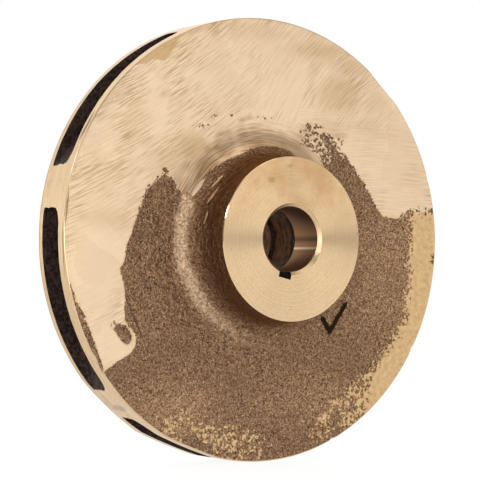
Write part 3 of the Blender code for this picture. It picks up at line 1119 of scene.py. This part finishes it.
    metal = add("MapRange", [bare, 0.0, 1.0, 0.9, 1.0])
    rough = add("MapRange", [bare, 0.0, 1.0, look["castRoughness"], look["bareRoughness"]])
    fineHeight = add("Math", [fineGrain, look["fineHeight"]], "MULTIPLY")
    castHeight = add("Math", [grain, look["grainHeight"], fineHeight], "MULTIPLY_ADD")
    nearHub = add("MapRange", [fromShaft, 0.07, 0.05, 0.0, look["leatherHeight"]], "SMOOTHSTEP")
    castHeight = add("Math", [leather, nearHub, castHeight], "MULTIPLY_ADD")
    bareHeight = add("Math", [lines, look["strokeHeight"], look["bareLevel"]], "MULTIPLY_ADD")
    height = add("Mix", [bare, castHeight, bareHeight])
    endFinish(add, {
        "Base Color": tone, "Metallic": metal, "Roughness": rough, "Specular Tint": look["grazing"],
    }, height)


# How the machined and cored metal looks
turnedLook = {
    "facedDark": "#DABA8F",
    "facedLight": "#EACDA6",
    "facedGold": "#C2925A",
    "facedSpeck": "#8C7450",
    "facedStain": ("#8A6C48", 0.4, 1.6, 0.9, 1.8),
    "lineHeight": 0.00001,
    "boredDark": "#966A44",
    "boredLight": "#B48356",
    # painted reflections in the bore, a darker top and a dark band as painted shade and a bright line as a
    # painted highlight: height from the axis, half width, colour, share
    "paintedReflections": ((9.0, 9.0, "#54361E", 0.6), (0.1, 2.4, "#3A2616", 0.7), (-3.9, 0.9, "#FFE8C4", 0.8)),
    "castShadeDark": "#331D0D",
    "castShadeLight": "#6C472A",
    "ledgeDark": "#1C120B",
    "ledgeDepth": 8.0,
    "rimDark": "#CAAA81",
    "rimLight": "#DEC29B",
    "rimStain": "#A98A63",
    "rimRear": "#8F6C48",
    # on the rim, the near-white bright mark is a painted highlight along its front edge
    "rimMarks": {"stain": ("#8C7A60", 0.6), "dark": ("#5A4130", 0.8), "polishAndHighlight": ("#FFF0D8", 1.0)},
    # the cored skin's tones, deepened as painted shade for the passages' insides
    "coredDark": "#1A100C",
    "coredLight": "#4E3A31",
    "coredHeight": 0.0005,
}


def makeFaced(add, roughness=0.19, anisotropic=0.95):
    # Lathe-faced tin bronze: satin gold, brightest across its fine rings, with old stains.
    look = turnedLook
    place = add("TexCoord", output="Object")
    centred = add("VectorMath", [place, (0.0, 0.0, seat["axisZ"] * mm)], "SUBTRACT")
    flat = add("VectorMath", [centred, (1.0, 0.0, 1.0)], "MULTIPLY")
    radius = add("VectorMath", [flat], "LENGTH")
    ringPlace = add("Math", [radius, 2400.0], "MULTIPLY")
    rings = add("TexNoise", [ringPlace, 1.0, 2.0], "1D")
    speckle = add("TexNoise", [place, 900.0, 3.0])
    ringTone = add("Math", [speckle, 0.5, rings], "MULTIPLY_ADD")
    ringTone = add("MapRange", [ringTone, 0.45, 1.05])
    blotch = add("TexNoise", [place, 90.0, 3.0])
    # gold blotches, stronger towards the top of the face
    goldBlotch = add("MapRange", [blotch, 0.35, 0.65, 0.15, 0.6])
    height = add("SeparateXYZ", [centred], output="Z")
    above = add("MapRange", [height, 0.004, 0.02, 0.2, 1.0], "SMOOTHSTEP")
    goldBlotch = add("Math", [goldBlotch, above], "MULTIPLY")
    speck = add("TexNoise", [place, 420.0, 3.0])
    specked = add("MapRange", [speck, 0.66, 0.76, 0.0, 0.55])
    tone = add("Mix", [ringTone, look["facedDark"], look["facedLight"]], "RGBA")
    tone = layTones(add, tone, ((goldBlotch, look["facedGold"]), (specked, look["facedSpeck"])))
    tone = layMarks(add, tone, marks["stain"], look["facedStain"], speck)
    ringHeight = add("Math", [rings, look["lineHeight"]], "MULTIPLY")
    endFinish(add, {
        "Base Color": tone, "Metallic": 1.0, "Roughness": roughness, "Anisotropic": anisotropic,
        "Tangent": flat,
    }, ringHeight)


def makeChamfered(add):
    # Turned chamfers: the same gold in a plainer satin, so a light shows there as one short spark.
    makeFaced(add, 0.16, 0.0)


def makeBored(add):
    # Bored and turned tin bronze: rougher, with fine lines round the shaft axis, browner than the faced gold
    # as painted shade for inside the bore, and crossed by bands of painted reflection.
    look = turnedLook
    place = add("TexCoord", output="Object")
    along = add("SeparateXYZ", [place], output="Y")
    linePlace = add("Math", [along, 1600.0], "MULTIPLY")
    lines = add("TexNoise", [linePlace, 1.0, 2.0], "1D")
    tone = add("Mix", [lines, look["boredDark"], look["boredLight"]], "RGBA")
    # bands of painted reflection: painted shade and one painted highlight line
    for middle, half, colour, share in look["paintedReflections"]:
        gap = add("Math", [along.node.outputs["Z"], (seat["axisZ"] + middle) * mm], "SUBTRACT")
        gap = add("Math", [gap], "ABSOLUTE")
        reflected = add("MapRange", [gap, 0.0, half * mm, share, 0.0], "SMOOTHSTEP")
        tone = add("Mix", [reflected, tone, colour], "RGBA")
    lineHeight = add("Math", [lines, look["lineHeight"]], "MULTIPLY")
    endFinish(add, {"Base Color": tone, "Metallic": 1.0, "Roughness": 0.42}, lineHeight)


def makeCastAndShaded(add):
    # Relief and rear land of the bore, and the keyway: cast and dull and dark brown; the relief's brown is
    # its cast skin, and on the rear land and in the keyway the dark brown is painted shade.
    look = turnedLook
    place = add("TexCoord", output="Object")
    squeezed = add("VectorMath", [place, (520.0, 520.0, 240.0)], "MULTIPLY")
    grain = add("TexNoise", [squeezed, 1.0, 4.0, 0.6])
    grainShare = add("MapRange", [grain, 0.35, 0.65])
    along = add("SeparateXYZ", [place], output="Y")
    step = add("Math", [grain, 0.009, along], "MULTIPLY_ADD")
    # a dark ragged band a little way into the relief, past its step
    ledgeStart = (seat["faceY"] + casting["boreLand"] - casting["hubHeight"] + look["ledgeDepth"]) * mm
    ledge = add("MapRange", [step, ledgeStart, ledgeStart + 1.2 * mm, 0.85, 0.0], "SMOOTHSTEP")
    tone = add("Mix", [grainShare, look["castShadeDark"], look["castShadeLight"]], "RGBA")
    tone = add("Mix", [ledge, tone, look["ledgeDark"]], "RGBA")
    grainHeight = add("Math", [grain, look["coredHeight"]], "MULTIPLY")
    endFinish(add, {"Base Color": tone, "Metallic": 1.0, "Roughness": 0.65}, grainHeight)


def makeRim(add):
    # Rim turned and touched with the grinder: pale gold with fine lines round it.
    look = turnedLook
    place = add("TexCoord", output="Object")
    stretched = add("VectorMath", [place, (60.0, 1500.0, 60.0)], "MULTIPLY")
    lines = add("TexNoise", [stretched, 1.0, 2.0])
    lineTone = add("MapRange", [lines, 0.3, 0.7])
    stain = add("TexNoise", [place, 160.0, 4.0])
    darkened = add("MapRange", [stain, 0.58, 0.72, 0.0, 0.45])
    along = add("SeparateXYZ", [place], output="Y")
    rear = (seat["faceY"] + casting["rimWidth"]) * mm
    rearLine = add("MapRange", [along, rear - 1.5 * mm, rear - 0.4 * mm, 0.0, 0.75], "SMOOTHSTEP")
    tone = add("Mix", [lineTone, look["rimDark"], look["rimLight"]], "RGBA")
    tone = layTones(add, tone, ((darkened, look["rimStain"]), (rearLine, look["rimRear"])))
    for kind, (colour, share) in look["rimMarks"].items():
        tone = layMarks(add, tone, marks[kind], (colour, share, 0.8, 0.8, 1.6), stain)
    endFinish(add, {"Base Color": tone, "Metallic": 1.0, "Roughness": 0.35})


def makeCored(add):
    # Skin left by the sand cores: rough and dull, its dark brown deepened nearly to black as painted shade
    # inside the passages.
    look = turnedLook
    place = add("TexCoord", output="Object")
    grain = add("TexNoise", [place, 700.0, 3.0])
    grainShare = add("MapRange", [grain, 0.35, 0.65])
    tone = add("Mix", [grainShare, look["coredDark"], look["coredLight"]], "RGBA")
    grainHeight = add("Math", [grain, look["coredHeight"]], "MULTIPLY")
    endFinish(add, {"Base Color": tone, "Metallic": 0.6, "Roughness": 0.75}, grainHeight)


# Material names and what adds their nodes, in the order of the finishes
finishMakers = {
    "sandCastTinBronze": makeSkin,
    "turnedRimTinBronze": makeRim,
    "latheFacedTinBronze": makeFaced,
    "boredTinBronze": makeBored,
    "coredTinBronze": makeCored,
    "castAndShadedTinBronze": makeCastAndShaded,
    "chamferedTinBronze": makeChamfered,
}

body.data.materials.clear()
for name, addFinish in finishMakers.items():
    material = bpy.data.materials.new(name)
    addFinish(emptyNodes(material))
    body.data.materials.append(material)
body.data.polygons.foreach_set("material_index", finishOfFace.astype(np.int32))
pickOnly([body])
bpy.ops.object.shade_smooth_by_angle(angle=math.radians(32.0))
print("finishes applied")

# Pale floor and soft studio light: a white room with a dim belt at eye level
studio = {
    "backdrop": 1.0,
    "frontGlow": 0.9,
    "leftGlow": 0.3,
    "rearGlow": 1.2,
    "beltGlow": 0.0,
    "rearBelt": 0.1,
    "beltMiddle": 0.012,
    "beltHeight": 0.016,
    "halo": 0.34,
    "haloHeight": 0.2,
    "overhead": 0.62,
    "zenith": 0.4,
    "floor": "#4B4A49",
    "floorGlow": 0.92,
    "floorSize": 2.4,
    "floorGap": 0.0002,
    "target": (0.0, 0.0, 0.1),
}

# Softboxes: place in metres, width, height and power
lamps = {
    "keySoftbox": ((-1.15, -0.72, 0.8), 0.24, 0.24, 2.6),
    "lowSoftbox": ((-0.88, -1.12, 0.17), 0.35, 0.3, 7.0),
    "rightSoftbox": ((0.5, -1.9, 0.5), 1.2, 1.2, 1.5),
    "topSoftbox": ((0.0, -0.5, 2.0), 1.4, 1.4, 4.0),
}


def makeFloor():
    deselectAll()
    bpy.ops.mesh.primitive_plane_add(size=studio["floorSize"], location=(0.0, 0.0, -studio["floorGap"]))
    floor = bpy.context.object
    floor.name = "studioFloor"
    paint = bpy.data.materials.new("paleFloorPaint")
    endFinish(emptyNodes(paint), {
        "Base Color": studio["floor"], "Roughness": 0.9,
        "Emission Color": (1.0, 1.0, 1.0, 1.0), "Emission Strength": studio["floorGlow"],
    })
    floor.data.materials.append(paint)


def makeRoom():
    # The camera sees white paper; the metal reflects the room's glow by direction.
    world = bpy.data.worlds.new("studioWorld")
    add = emptyNodes(world)
    sideways = add("SeparateXYZ", [add("TexCoord", output="Generated")])
    inwards, upwards = sideways.node.outputs["Y"], sideways.node.outputs["Z"]
    ahead = add("MapRange", [
        sideways, -0.75, 0.3, studio["leftGlow"], studio["frontGlow"],
    ], "SMOOTHSTEP")
    behind = add("MapRange", [inwards, 0.1, 0.6], "SMOOTHSTEP")
    around = add("Mix", [behind, ahead, studio["rearGlow"]])
    height = add("Math", [upwards, studio["beltMiddle"]], "SUBTRACT")
    height = add("Math", [height], "ABSOLUTE")
    halo = add("MapRange", [
        height, 0.3 * studio["haloHeight"], studio["haloHeight"], 1.0 + studio["halo"], 1.0,
    ], "SMOOTHSTEP")
    beltGlow = add("Mix", [behind, studio["beltGlow"], studio["rearBelt"]])
    belt = add("MapRange", [
        height, 0.3 * studio["beltHeight"], 1.4 * studio["beltHeight"], beltGlow, 1.0,
    ], "SMOOTHSTEP")
    overhead = add("MapRange", [upwards, 0.12, 0.4, 1.0, studio["overhead"]], "SMOOTHSTEP")
    overhead = add("Mix", [behind, overhead, 1.0])
    zenith = add("MapRange", [upwards, 0.5, 0.85, 0.0, studio["zenith"]], "SMOOTHSTEP")
    overhead = add("Math", [overhead, zenith], "ADD")
    glow = around
    for factor in (halo, belt, overhead):
        glow = add("Math", [glow, factor], "MULTIPLY")
    paper = add("LightPath", output="Is Camera Ray")
    strength = add("Mix", [paper, glow, studio["backdrop"]])
    sky = add("Background", [(1.0, 1.0, 1.0, 1.0), strength])
    add("OutputWorld", {"Surface": sky})
    scene.world = world
    scene.view_settings.view_transform = "Standard"


def addLamps():
    for name, (spot, width, height, power) in lamps.items():
        aim = (Vector(studio["target"]) - Vector(spot)).to_track_quat("-Z", "Y").to_euler()
        bpy.ops.object.light_add(type="AREA", location=spot, rotation=aim)
        lamp = bpy.context.object
        lamp.name = name
        lamp.data.shape = "RECTANGLE"
        lamp.data.size = width
        lamp.data.size_y = height
        lamp.data.energy = power


makeFloor()
makeRoom()
addLamps()
print("studio lit")
